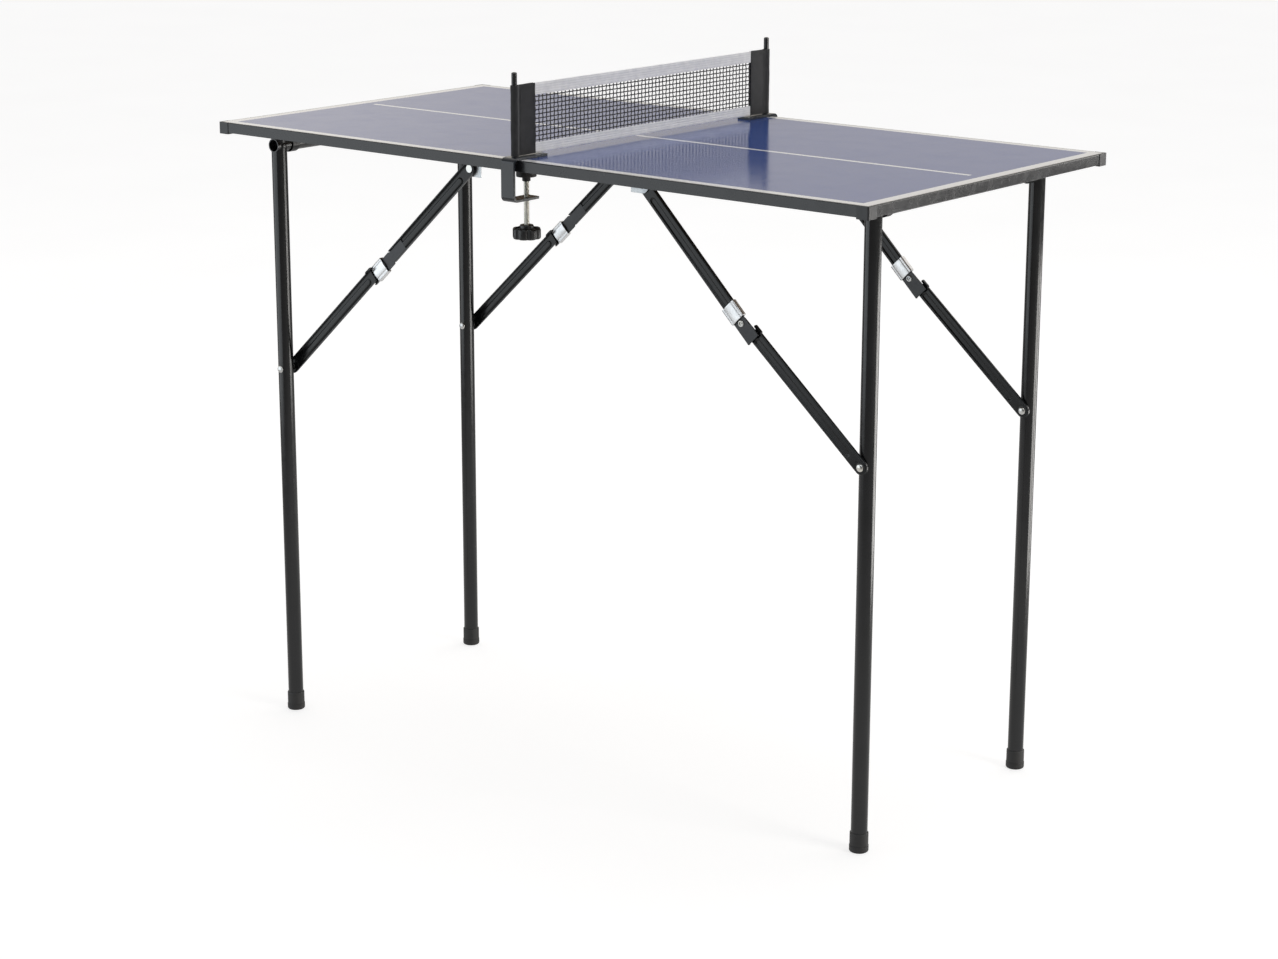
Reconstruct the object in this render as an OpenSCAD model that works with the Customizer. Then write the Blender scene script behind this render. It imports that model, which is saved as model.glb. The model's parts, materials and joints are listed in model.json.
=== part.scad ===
// Small free-standing ping pong table: a framed top on two folding leg frames,
// four jointed braces with sliding lock sleeves, and a net held by two screw clamps.
// +X runs along the table, +Y across it, +Z up. The origin is on the floor, at the middle.

/* [Top] */
// Length of the top, rails included
top_length = 914; // [860:1:980]
// Width of the top, rails included
top_width = 452; // [430:1:480]
// Height of the playing surface above the floor
top_height = 716; // [690:1:760]
// Thickness of the board and height of the rails
board_thick = 12; // [10:0.5:15]
// Thickness of the edge rails
rail_thick = 2.4; // [2:0.1:4]

/* [Legs] */
// Outside diameter of the leg tubes
leg_tube = 18; // [16:0.5:19]
// Outside diameter of the two cross tubes
cross_tube = 16; // [12:0.5:16]
// Wall of every tube
tube_wall = 1.2; // [0.8:0.1:2]
// From an end of the top to the legs' centres
leg_end_inset = 66; // [55:1:75]
// From a long edge to the centre of the outer leg of a frame
outer_leg_inset = 31; // [28:1:36]
// From a long edge to the centre of the inner leg of a frame
inner_leg_inset = 106; // [100:1:112]
// Diameter of the rubber feet
foot_dia = 21; // [20.5:0.5:26]
// Height of the rubber feet
foot_height = 22; // [15:1:30]

/* [Braces] */
// Height of the brace rivet on the leg
leg_rivet_z = 426; // [400:1:450]
// Height of the upper brace pivot
tab_rivet_z = 690; // [686:1:692]
// Distance of the upper brace pivot from the middle of the top
tab_rivet_x = 108; // [100:1:120]
// Distance of the knuckle rivet from the upper pivot
knuckle_reach = 187; // [180:1:195]
// How far the unlocked right-hand knuckles hang below a straight line
right_sag = 7; // [0:0.5:8]
// Width of the pressed arms
arm_width = 16; // [15:0.5:17]
// Length of a lock sleeve
sleeve_length = 20; // [16:1:22]
// Lower edge of the left sleeves, measured up from the knuckle rivet: locked
left_sleeve_at = -14; // [-14:0.5:-12]
// Lower edge of the right sleeves, measured up from the knuckle rivet: slid clear
right_sleeve_at = 4.5; // [4:0.5:10]

/* [Net] */
// Height of the net above the playing surface
net_height = 79; // [70:1:85]
// Top of the posts above the playing surface
post_height = 93; // [90:1:100]
// Diameter of the posts and of the clamp screws
rod_dia = 6; // [5:0.5:6]
// Distance of the post from the edge of the top
post_inset = 3.5; // [3:0.5:6]
// Width of the clamp's steel strip
strip_width = 18; // [16:1:22]
// Thickness of the clamp's steel strip
strip_thick = 3; // [2.5:0.1:3.5]
// Reach of the clamp over the top, from its outer face
clamp_reach = 55; // [50:1:65]
// Distance of the clamp screw from the edge of the top
screw_inset = 21.5; // [20:0.5:24]
// Diameter of the clamp knob
knob_dia = 31; // [26:1:34]

/* [Hidden] */
$fn = 48;

half_l = top_length / 2;
half_w = top_width / 2;
board_under = top_height - board_thick;
leg_x = half_l - leg_end_inset;
outer_y = half_w - outer_leg_inset;
inner_y = half_w - inner_leg_inset;
// Gap between a cross tube and the board, which lets the leg tops turn clear
tube_gap = 4.4;
pivot_z = board_under - cross_tube / 2 - tube_gap;

// Layers of a brace, counted outward from the axis of its leg
lower_arm_at = leg_tube / 2 + 1.9;
lower_arm_deep = 3.4;
sleeve_at = lower_arm_at + lower_arm_deep + 0.3;
sleeve_wall = 1;
tongue_at = sleeve_at + sleeve_wall + 0.3;
sheet = 1.3;
near_cheek_at = tongue_at + sheet + 0.1;
upper_arm_at = tongue_at;
upper_arm_deep = near_cheek_at + sheet - tongue_at + sheet;
upper_face = upper_arm_at + upper_arm_deep;
sleeve_deep = upper_face + 0.3 + sleeve_wall - sleeve_at;
tab_at = upper_face + 0.3;
tab_thick = 1.5;

rivet_dia = 5;
rivet_hole = rivet_dia + 0.1;
rivet_head = 8.6;
tongue_width = 14.6;
tongue_length = 15;
arm_gap_above_knuckle = 22;
sleeve_width = 20;
knuckle_top = 46;
knuckle_drop = 22.5;
lip_from = 14.8;
lip_out = tongue_width / 2 + 1.4;

// A leg frame is drawn for the right-hand end; the left one is the same, turned half round.
// On each frame the outer leg stands near one long edge and the inner leg further in.
inner_leg = -inner_y;
outer_leg = outer_y;

// The brace in the plane of its arms: upper pivot, leg rivet and knuckle rivet, as [x, z]
upper_pivot = [tab_rivet_x, tab_rivet_z];
lower_pivot = [leg_x, leg_rivet_z];
brace_line = (lower_pivot - upper_pivot) / norm(lower_pivot - upper_pivot);
sag_line = [brace_line[1], -brace_line[0]];
function knuckle(sag) = upper_pivot + knuckle_reach * brace_line + sag * sag_line;
function upper_length(sag) = norm(knuckle(sag) - upper_pivot);
function lower_length(sag) = norm(lower_pivot - knuckle(sag));
function tilt(from, to) = atan2(from[1] - to[1], to[0] - from[0]);

module right_end() { children(); }
module left_end() { rotate([0, 0, 180]) children(); }
module mirrored_y() { mirror([0, 1, 0]) children(); }

// Stands a flat drawing up in the plane of a leg's brace: x along the arm, z away from the leg
module in_brace(leg_y, at, angle) {
    translate([at[0], leg_y, at[1]])
        rotate([0, angle, 0])
            rotate([90, 0, 0])
                children();
}

module upper_frame(leg_y, sag) {
    in_brace(leg_y, upper_pivot, tilt(upper_pivot, knuckle(sag))) children();
}

module lower_frame(leg_y, sag) {
    in_brace(leg_y, knuckle(sag), tilt(knuckle(sag), lower_pivot)) children();
}

// ---- shared shapes ----

module tube(length, outside, wall) {
    difference() {
        cylinder(h = length, d = outside);
        translate([0, 0, -1]) cylinder(h = length + 2, d = outside - 2 * wall);
    }
}

module rounded_square(size, r) {
    translate([r, 0]) square([size[0] - 2 * r, size[1]]);
    translate([0, r]) square([size[0], size[1] - 2 * r]);
    for (x = [r, size[0] - r], y = [r, size[1] - r]) translate([x, y]) circle(r);
}

// A domed head that rises from z = 0
module dome(dia, rise) {
    ball = (pow(dia / 2, 2) + pow(rise, 2)) / (2 * rise);
    intersection() {
        translate([0, 0, rise - ball]) sphere(ball);
        cylinder(h = rise + 1, d = dia);
    }
}

// A solid along x whose section is drawn in y and z
module along_x(length) {
    rotate([90, 0, 90]) linear_extrude(length) children();
}

// Section of a pressed arm: a channel that opens towards the leg, with rounded outer edges
module arm_section(at, deep) {
    round = 1.6;
    half = arm_width / 2;
    difference() {
        union() {
            translate([-half, at]) square([arm_width, deep - round]);
            translate([round - half, at]) square([arm_width - 2 * round, deep]);
            for (s = [-1, 1]) translate([s * (half - round), at + deep - round]) circle(round);
        }
        translate([sheet - half, at - 1]) square([arm_width - 2 * sheet, deep - sheet + 1]);
    }
}

module slot_shape(from, to, width) {
    translate([from, -width / 2]) square([to - from, width]);
    for (x = [from, to]) translate([x, 0]) circle(d = width);
}

// A pressed arm from x = from to x = to, rounded round its rivet at one of them
module pressed_arm(from, to, rivet_at, at, deep) {
    bead_width = 6;
    bead_deep = 0.6;
    bead_in = 24;
    difference() {
        intersection() {
            translate([from - arm_width, 0, 0])
                along_x(to - from + 2 * arm_width) arm_section(at, deep);
            translate([0, 0, at - 1]) linear_extrude(deep + 2) {
                translate([from, -arm_width]) square([to - from, 2 * arm_width]);
                translate([rivet_at, 0]) circle(d = arm_width);
            }
        }
        translate([rivet_at, 0, at - 1]) cylinder(h = deep + 2, d = rivet_hole);
        translate([0, 0, at + deep - bead_deep])
            linear_extrude(1) slot_shape(from + bead_in, to - bead_in, bead_width);
    }
}

// ---- the top ----

module playing_board() {
    color("#2f4f9e")
        translate([rail_thick - half_l, rail_thick - half_w, board_under])
            cube([top_length - 2 * rail_thick, top_width - 2 * rail_thick, board_thick]);
}

corner_reach = 14;
corner_lap = 0.6;
corner_drop = 1.6;

// Section of a rail: a strip with its top outer edge rounded, outside at x = 0
module rail_section() {
    round = 1.2;
    translate([-rail_thick, 0]) square([rail_thick, board_thick - round]);
    translate([-rail_thick, 0]) square([rail_thick - round, board_thick]);
    translate([-round, board_thick - round]) circle(round);
}

module long_rail() {
    run = top_length;
    color("#33363a")
        translate([run / 2, -half_w, board_under])
            rotate([90, 0, -90]) linear_extrude(run) rail_section();
}

module end_rail() {
    run = top_width - 2 * rail_thick;
    color("#33363a")
        translate([half_l, run / 2, board_under])
            rotate([90, 0, 0]) linear_extrude(run) rail_section();
}

// One face of a corner piece at +X +Y, along the end of the top: a quarter of a disc
module corner_flap() {
    intersection() {
        translate([half_l - corner_reach, half_w - corner_reach, board_under - corner_drop])
            cube([corner_reach + corner_lap, corner_reach + corner_lap, board_thick + corner_drop]);
        translate([half_l - 2 * corner_reach, half_w + corner_lap, board_under - corner_drop])
            rotate([0, 90, 0]) cylinder(h = 3 * corner_reach, r = corner_reach);
    }
}

// A moulded corner that laps over the ends of two rails and under the board
module corner_cap() {
    edge_round = 1.5;
    difference() {
        union() {
            corner_flap();
            translate([half_l - half_w, half_w - half_l, 0]) mirror([1, -1, 0]) corner_flap();
        }
        translate([half_l - top_length, half_w - top_width, board_under])
            cube([top_length, top_width, board_thick + 1]);
        translate([half_l + corner_lap - edge_round, half_w + corner_lap - edge_round, 0])
            difference() {
                cube([2 * edge_round, 2 * edge_round, 2 * top_height]);
                cylinder(h = 2 * top_height, r = edge_round);
            }
    }
}

module corner_caps() {
    color("#26282b")
        for (x = [0, 1], y = [0, 1])
            mirror([x, 0, 0]) mirror([0, y, 0]) corner_cap();
}

saddle_width = 10;
saddle_thick = 1.6;
saddle_ear = 13;
saddle_off_leg = 18.5;
screw_hole = 3.6;
saddle_ys = [inner_leg + saddle_off_leg, outer_leg - saddle_off_leg];
saddle_screw_x = cross_tube / 2 + saddle_thick + saddle_ear / 2;

// A strap that holds the cross tube up against the board
module hinge_saddle() {
    clear = 0.05;
    bore = cross_tube / 2 + clear;
    difference() {
        union() {
            translate([0, saddle_width / 2, pivot_z])
                rotate([90, 0, 0]) cylinder(h = saddle_width, r = bore + saddle_thick);
            translate([-bore - saddle_thick, -saddle_width / 2, pivot_z])
                cube([2 * (bore + saddle_thick), saddle_width, board_under - pivot_z]);
            translate([-bore - saddle_ear, -saddle_width / 2, board_under - saddle_thick])
                cube([2 * (bore + saddle_ear), saddle_width, saddle_thick]);
        }
        translate([0, saddle_width, pivot_z])
            rotate([90, 0, 0]) cylinder(h = 2 * saddle_width, r = bore);
        translate([-bore, -saddle_width, pivot_z])
            cube([2 * bore, 2 * saddle_width, board_under]);
        for (s = [-1, 1])
            translate([s * saddle_screw_x, 0, board_under - 3])
                cylinder(h = 6, d = screw_hole);
    }
}

module saddle_places() {
    for (y = saddle_ys) {
        translate([leg_x, y, 0]) children();
        rotate([0, 0, 180]) translate([leg_x, y, 0]) children();
    }
}

module hinge_saddles() {
    color("#1f2123") saddle_places() hinge_saddle();
}

tab_before = 15;
tab_after = 10;
tab_flange = 15;
tab_screws = [8 - tab_before, tab_after - 8];

// A zinc bracket under the board that carries the upper pivot of a brace
module brace_tab(leg_y) {
    translate([tab_rivet_x, leg_y, 0]) difference() {
        union() {
            translate([0, -tab_at, tab_rivet_z]) rotate([90, 0, 0]) linear_extrude(tab_thick) {
                circle(r = tab_after - 1);
                translate([-tab_before, 0]) square([tab_before + tab_after, board_under - tab_rivet_z]);
                translate([-tab_before, 1 - tab_after]) square([tab_before, tab_after]);
            }
            translate([-tab_before, -tab_at - tab_flange, board_under - tab_thick])
                cube([tab_before + tab_after, tab_flange, tab_thick]);
        }
        translate([0, -tab_at + 1, tab_rivet_z])
            rotate([90, 0, 0]) cylinder(h = tab_thick + 2, d = rivet_hole);
        for (x = tab_screws)
            translate([x, -tab_at - tab_flange / 2 - 1, board_under - 3])
                cylinder(h = 6, d = screw_hole);
    }
}

module brace_tabs() {
    color("#8d9193")
        for (leg_y = [inner_leg, outer_leg]) {
            right_end() brace_tab(leg_y);
            left_end() brace_tab(leg_y);
        }
}

// The pin of an upper pivot, with a head outside the tab and one inside the arm
module tab_rivet(leg_y) {
    head_rise = 2;
    inner_face = upper_face - sheet - 0.3;
    in_brace(leg_y, upper_pivot, 0) {
        translate([0, 0, inner_face - 1.2]) cylinder(h = 1.2, d = rivet_head);
        translate([0, 0, inner_face - 1]) cylinder(h = tab_at + tab_thick - inner_face + 1, d = rivet_dia);
        translate([0, 0, tab_at + tab_thick]) dome(rivet_head, head_rise);
    }
}

module tab_rivets() {
    color("silver")
        for (leg_y = [inner_leg, outer_leg]) {
            right_end() tab_rivet(leg_y);
            left_end() tab_rivet(leg_y);
        }
}

module pan_screw(under) {
    shank = 3.4;
    head = 7;
    translate([0, 0, under]) cylinder(h = board_under - under, d = shank);
    translate([0, 0, under]) rotate([180, 0, 0]) dome(head, 2);
}

module underside_screws() {
    color("silver") {
        saddle_places()
            for (s = [-1, 1])
                translate([s * saddle_screw_x, 0, 0]) pan_screw(board_under - saddle_thick);
        for (turn = [0, 180], leg_y = [inner_leg, outer_leg], x = tab_screws)
            rotate([0, 0, turn])
                translate([tab_rivet_x + x, leg_y - tab_at - tab_flange / 2 - 1, 0])
                    pan_screw(board_under - tab_thick);
    }
}

// ---- the net set, drawn for the near edge ----

clamp_face = half_w + 9;
clamp_under = 41.5;
screw_y = -half_w + screw_inset;
post_y = -half_w + post_inset;
flange_reach = 41;
flange_z = top_height - clamp_under - strip_thick;
plate_z = top_height + strip_thick;
thread_clear = 0.05;

// Half-round bend of the clamp's strip, in y and z, with its outside corner at [0, 0]
module strip_bend(r) {
    intersection() {
        translate([r, r]) difference() {
            circle(r);
            circle(r - strip_thick);
        }
        square([r, r]);
    }
}

module clamp_bracket() {
    bend = 6;
    tall = plate_z - flange_z;
    difference() {
        translate([-strip_width / 2, -clamp_face, flange_z]) along_x(strip_width) {
            translate([0, bend]) square([strip_thick, tall - 2 * bend]);
            strip_bend(bend);
            translate([0, tall]) mirror([0, 1]) strip_bend(bend);
            translate([bend, 0]) square([flange_reach - bend, strip_thick]);
            translate([bend, tall - strip_thick]) square([clamp_reach - bend, strip_thick]);
        }
        translate([0, screw_y, flange_z - 1])
            cylinder(h = strip_thick + 2, r = rod_dia / 2 + thread_clear);
    }
}

module near_clamp() {
    color("#2b3036") clamp_bracket();
}

module net_post() {
    translate([0, post_y, plate_z]) {
        cylinder(h = top_height + post_height - plate_z - 1, d = rod_dia);
        translate([0, 0, top_height + post_height - plate_z - 1]) dome(rod_dia, 1);
    }
}

module near_post() {
    color("#1c1d1f") net_post();
}

pad_dia = 22;
pad_thick = 7.8;
pad_neck_dia = 9;
pad_neck = 5;
pad_z = board_under - 0.2 - pad_thick;
screw_top = pad_z + 2;
knob_top = top_height - 72;
knob_boss = 3.5;
knob_thick = 12;
knob_lobes = 8;

// The swivel pad under the board; it turns freely on the screw's tip
module swivel_pad() {
    socket_clear = 0.05;
    difference() {
        union() {
            translate([0, screw_y, pad_z]) cylinder(h = pad_thick, d = pad_dia);
            translate([0, screw_y, pad_z - pad_neck]) cylinder(h = pad_neck + 1, d = pad_neck_dia);
        }
        translate([0, screw_y, pad_z - pad_neck - 1])
            cylinder(h = screw_top - pad_z + pad_neck + 1.3, r = rod_dia / 2 + socket_clear);
    }
}

module near_pad() {
    color("#222325") swivel_pad();
}

module clamp_screw() {
    translate([0, screw_y, knob_top - knob_thick])
        cylinder(h = screw_top - knob_top + knob_thick, d = rod_dia);
}

module near_clamp_screw() {
    color("silver") clamp_screw();
}

module lobed_knob() {
    lobe = 7.4;
    core = knob_dia / 2 - lobe / 2 + 1.1;
    difference() {
        translate([0, screw_y, knob_top - knob_boss - knob_thick]) {
            translate([0, 0, knob_thick]) cylinder(h = knob_boss, d = 15);
            cylinder(h = knob_thick, r = core);
            for (i = [0:knob_lobes - 1])
                rotate([0, 0, i * 360 / knob_lobes])
                    translate([knob_dia / 2 - lobe / 2, 0, 0])
                        cylinder(h = knob_thick, d = lobe);
        }
        translate([0, screw_y, knob_top - knob_thick])
            cylinder(h = knob_thick + 1, d = rod_dia);
    }
}

module near_knob() {
    color("#151617") lobed_knob();
}

module far_clamp() { color("#2b3036") mirrored_y() clamp_bracket(); }
module far_post() { color("#1c1d1f") mirrored_y() net_post(); }
module far_pad() { color("#222325") mirrored_y() swivel_pad(); }
module far_clamp_screw() { color("silver") mirrored_y() clamp_screw(); }
module far_knob() { color("#151617") mirrored_y() lobed_knob(); }

net_top = top_height + net_height;
net_low = plate_z + 0.5;
top_tape = 12;
low_tape = 10.5;
end_width = 36;
cloth = 1.6;
end_wall = 1;
end_inner_y = -(half_w + 1) + end_width;

// The fabric pocket that the post slides into, and the band sewn to the mesh
module net_end() {
    pocket = rod_dia + 0.6;
    tall = net_top - net_low;
    difference() {
        union() {
            translate([0, post_y, net_low]) cylinder(h = tall, d = pocket + 2 * end_wall);
            translate([-cloth, post_y, net_low]) cube([2 * cloth, end_inner_y - post_y, tall]);
        }
        translate([0, post_y, net_low - 1]) cylinder(h = tall + 2, d = pocket);
    }
}

module near_net_sleeve() { color("#1a1a1b") net_end(); }
module far_net_sleeve() { color("#1a1a1b") mirrored_y() net_end(); }

module net_band(low, high, thick) {
    translate([-thick / 2, end_inner_y, low]) cube([thick, -2 * end_inner_y, high - low]);
}

module net_mesh() {
    color("#3a3a3c") net_band(net_low + low_tape, net_top - top_tape, 1);
}

module net_tapes() {
    color("white") {
        net_band(net_top - top_tape, net_top, 2);
        net_band(net_low, net_low + low_tape, 2);
    }
}

// ---- leg frames ----

foot_sole = 3;
// The cross tube runs through the tops of the legs, and a rivet through both holds it
leg_top = pivot_z + 7.5;
top_rivet_z = pivot_z;

module top_rivet_hole(leg_y) {
    translate([leg_x - leg_tube, leg_y, top_rivet_z])
        rotate([0, 90, 0]) cylinder(h = 2 * leg_tube, d = rivet_hole);
}

module leg(leg_y) {
    color("#141516") difference() {
        translate([leg_x, leg_y, foot_sole]) tube(leg_top - foot_sole, leg_tube, tube_wall);
        translate([leg_x, leg_y + leg_tube, pivot_z])
            rotate([90, 0, 0]) cylinder(h = 2 * leg_tube, d = cross_tube + 0.1);
        translate([leg_x, leg_y + leg_tube, leg_rivet_z])
            rotate([90, 0, 0]) cylinder(h = 2 * leg_tube, d = rivet_hole);
        top_rivet_hole(leg_y);
    }
}

module foot(leg_y) {
    grip = 0.05;
    round = 2;
    profile_r = foot_dia / 2;
    neck_r = profile_r - 0.4;
    color("#1b1b1b") translate([leg_x, leg_y, 0]) difference() {
        rotate_extrude() {
            square([profile_r - round, foot_height]);
            translate([0, round]) square([profile_r, 7 - round]);
            square([neck_r - 1, foot_height]);
            translate([0, round]) square([neck_r, foot_height - round - 1]);
            translate([profile_r - round, round]) circle(round);
            translate([neck_r - 1, foot_height - 1]) circle(1);
        }
        translate([0, 0, foot_sole]) cylinder(h = foot_height, r = leg_tube / 2 + grip);
        translate([0, 0, -5]) cylinder(h = 5, r = profile_r + 2);
    }
}

module cross_bar() {
    ends = outer_leg - inner_leg + leg_tube;
    color("#141516") difference() {
        translate([leg_x, outer_leg + leg_tube / 2, pivot_z])
            rotate([90, 0, 0]) tube(ends, cross_tube, tube_wall);
        for (leg_y = [inner_leg, outer_leg]) top_rivet_hole(leg_y);
    }
}

// A rivet through the leg: a dome on the far side, and a collar that the brace lies against
module leg_rivet(leg_y) {
    collar = 9;
    in_brace(leg_y, lower_pivot, 0) {
        translate([0, 0, -leg_tube / 2]) rotate([180, 0, 0]) dome(rivet_head, 2.2);
        translate([0, 0, -leg_tube / 2 - 0.5]) cylinder(h = leg_tube + 0.5, d = rivet_dia);
        translate([0, 0, leg_tube / 2]) cylinder(h = lower_arm_at - 0.3 - leg_tube / 2, d = collar);
    }
}

// The rivet along x that fixes a leg's top to the cross tube
module top_rivet(leg_y) {
    reach = leg_tube / 2 + 0.4;
    translate([leg_x, leg_y, top_rivet_z]) {
        rotate([0, 90, 0]) translate([0, 0, -reach]) cylinder(h = 2 * reach, d = rivet_dia);
        for (s = [-1, 1]) rotate([0, s * 90, 0]) translate([0, 0, reach]) dome(rivet_head, 2);
    }
}

module leg_rivets() {
    color("silver")
        for (leg_y = [inner_leg, outer_leg]) {
            leg_rivet(leg_y);
            top_rivet(leg_y);
        }
}

// ---- braces ----

module upper_arm(leg_y, sag) {
    color("#17181a") upper_frame(leg_y, sag)
        pressed_arm(0, upper_length(sag) - arm_gap_above_knuckle, 0, upper_arm_at, upper_arm_deep);
}

// Flat outline of the knuckle's cheek, with the knuckle rivet at x = 0: a waist, then a flare
module cheek_shape() {
    inside = arm_width - 2 * sheet - 0.4;
    waist = 7.6;
    flare = 8.8;
    polygon([
        [-knuckle_top, -inside / 2],
        [-arm_gap_above_knuckle + 1, -inside / 2],
        [-arm_gap_above_knuckle + 3, -lip_out],
        [knuckle_drop, -lip_out],
        [knuckle_drop, flare],
        [10, flare],
        [6, waist],
        [-arm_gap_above_knuckle + 3, waist],
        [-arm_gap_above_knuckle + 1, inside / 2],
        [-knuckle_top, inside / 2],
    ]);
}

// A cheek welded into the upper arm; its lip stops the lower arm in a straight line
module knuckle_bracket(leg_y, sag) {
    lip = 1.2;
    color("#202327") upper_frame(leg_y, sag) translate([upper_length(sag), 0, 0]) {
        difference() {
            translate([0, 0, near_cheek_at]) linear_extrude(sheet) cheek_shape();
            translate([0, 0, near_cheek_at - 1]) cylinder(h = sheet + 2, d = rivet_hole);
        }
        translate([lip_from, -lip_out, tongue_at])
            cube([knuckle_drop - lip_from, lip, near_cheek_at + sheet - tongue_at]);
    }
}

// The knuckle's pin: flush behind the tongue, domed in front of the near cheek
module knuckle_rivet(leg_y, sag) {
    front = near_cheek_at + sheet;
    color("silver") upper_frame(leg_y, sag) translate([upper_length(sag), 0, 0]) {
        translate([0, 0, tongue_at]) cylinder(h = front - tongue_at, d = rivet_dia);
        translate([0, 0, front]) dome(7.4, 1.3);
    }
}

module lower_arm(leg_y, sag) {
    length = lower_length(sag);
    ear_from = 11;
    ear_out = 1.6;
    top_of_web = lower_arm_at + lower_arm_deep;
    color("#17181a") lower_frame(leg_y, sag) {
        difference() {
            translate([0, 0, tongue_at]) linear_extrude(sheet) {
                circle(d = tongue_width);
                translate([0, -tongue_width / 2]) square([tongue_length + sheet, tongue_width]);
            }
            translate([0, 0, tongue_at - 1]) cylinder(h = sheet + 2, d = rivet_hole);
        }
        translate([tongue_length, -tongue_width / 2, top_of_web - sheet])
            cube([sheet, tongue_width, tongue_at + sheet - top_of_web + sheet]);
        pressed_arm(tongue_length, length, length, lower_arm_at, lower_arm_deep);
        translate([ear_from, arm_width / 2 - sheet, lower_arm_at])
            cube([knuckle_drop - ear_from, sheet + ear_out, lower_arm_deep]);
    }
}

// The rivet that ends the lower arm, domed on the arm's face
module arm_rivet(leg_y, sag) {
    face = lower_arm_at + lower_arm_deep;
    color("silver") lower_frame(leg_y, sag) translate([lower_length(sag), 0, 0]) {
        translate([0, 0, face - sheet]) cylinder(h = sheet, d = rivet_dia);
        translate([0, 0, face]) dome(rivet_head, 2);
    }
}

// A flat tube that slides down over the knuckle to lock the brace
module lock_sleeve(leg_y, sag, at) {
    round = 2.6;
    inner = [sleeve_width - 2 * sleeve_wall, sleeve_deep - 2 * sleeve_wall];
    color("#c9ccce") upper_frame(leg_y, sag)
        translate([upper_length(sag) - at - sleeve_length, 0, 0])
            along_x(sleeve_length) difference() {
                translate([-sleeve_width / 2, sleeve_at])
                    rounded_square([sleeve_width, sleeve_deep], round);
                translate([-inner[0] / 2, sleeve_at + sleeve_wall])
                    rounded_square(inner, round - sleeve_wall);
            }
}

playing_board();
long_rail();  // near_side_rail
mirrored_y() long_rail();  // far_side_rail
left_end() end_rail();  // left_end_rail
right_end() end_rail();  // right_end_rail
corner_caps();
hinge_saddles();
brace_tabs();
tab_rivets();
underside_screws();
near_clamp();
far_clamp();
near_post();
far_post();
near_pad();
far_pad();
near_clamp_screw();
far_clamp_screw();
near_knob();
far_knob();
net_mesh();
net_tapes();
near_net_sleeve();
far_net_sleeve();
left_end() leg(outer_leg);  // front_left_leg
left_end() leg(inner_leg);  // back_left_leg
right_end() leg(inner_leg);  // front_right_leg
right_end() leg(outer_leg);  // back_right_leg
left_end() cross_bar();  // left_cross_tube
right_end() cross_bar();  // right_cross_tube
left_end() foot(outer_leg);  // front_left_foot
left_end() foot(inner_leg);  // back_left_foot
right_end() foot(inner_leg);  // front_right_foot
right_end() foot(outer_leg);  // back_right_foot
left_end() leg_rivets();  // left_leg_rivets
right_end() leg_rivets();  // right_leg_rivets
left_end() upper_arm(outer_leg, 0);  // front_left_upper_arm
left_end() upper_arm(inner_leg, 0);  // back_left_upper_arm
right_end() upper_arm(inner_leg, right_sag);  // front_right_upper_arm
right_end() upper_arm(outer_leg, right_sag);  // back_right_upper_arm
left_end() knuckle_bracket(outer_leg, 0);  // front_left_knuckle
left_end() knuckle_bracket(inner_leg, 0);  // back_left_knuckle
right_end() knuckle_bracket(inner_leg, right_sag);  // front_right_knuckle
right_end() knuckle_bracket(outer_leg, right_sag);  // back_right_knuckle
left_end() knuckle_rivet(outer_leg, 0);  // front_left_knuckle_rivet
left_end() knuckle_rivet(inner_leg, 0);  // back_left_knuckle_rivet
right_end() knuckle_rivet(inner_leg, right_sag);  // front_right_knuckle_rivet
right_end() knuckle_rivet(outer_leg, right_sag);  // back_right_knuckle_rivet
left_end() lower_arm(outer_leg, 0);  // front_left_lower_arm
left_end() lower_arm(inner_leg, 0);  // back_left_lower_arm
right_end() lower_arm(inner_leg, right_sag);  // front_right_lower_arm
right_end() lower_arm(outer_leg, right_sag);  // back_right_lower_arm
left_end() arm_rivet(outer_leg, 0);  // front_left_arm_rivet
left_end() arm_rivet(inner_leg, 0);  // back_left_arm_rivet
right_end() arm_rivet(inner_leg, right_sag);  // front_right_arm_rivet
right_end() arm_rivet(outer_leg, right_sag);  // back_right_arm_rivet
left_end() lock_sleeve(outer_leg, 0, left_sleeve_at);  // front_left_lock_sleeve
left_end() lock_sleeve(inner_leg, 0, left_sleeve_at);  // back_left_lock_sleeve
right_end() lock_sleeve(inner_leg, right_sag, right_sleeve_at);  // front_right_lock_sleeve
right_end() lock_sleeve(outer_leg, right_sag, right_sleeve_at);  // back_right_lock_sleeve
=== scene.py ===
"""Looks of a small folding ping pong table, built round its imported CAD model."""
import json
import math

import bmesh
import bpy
from mathutils import Matrix, Vector


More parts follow.
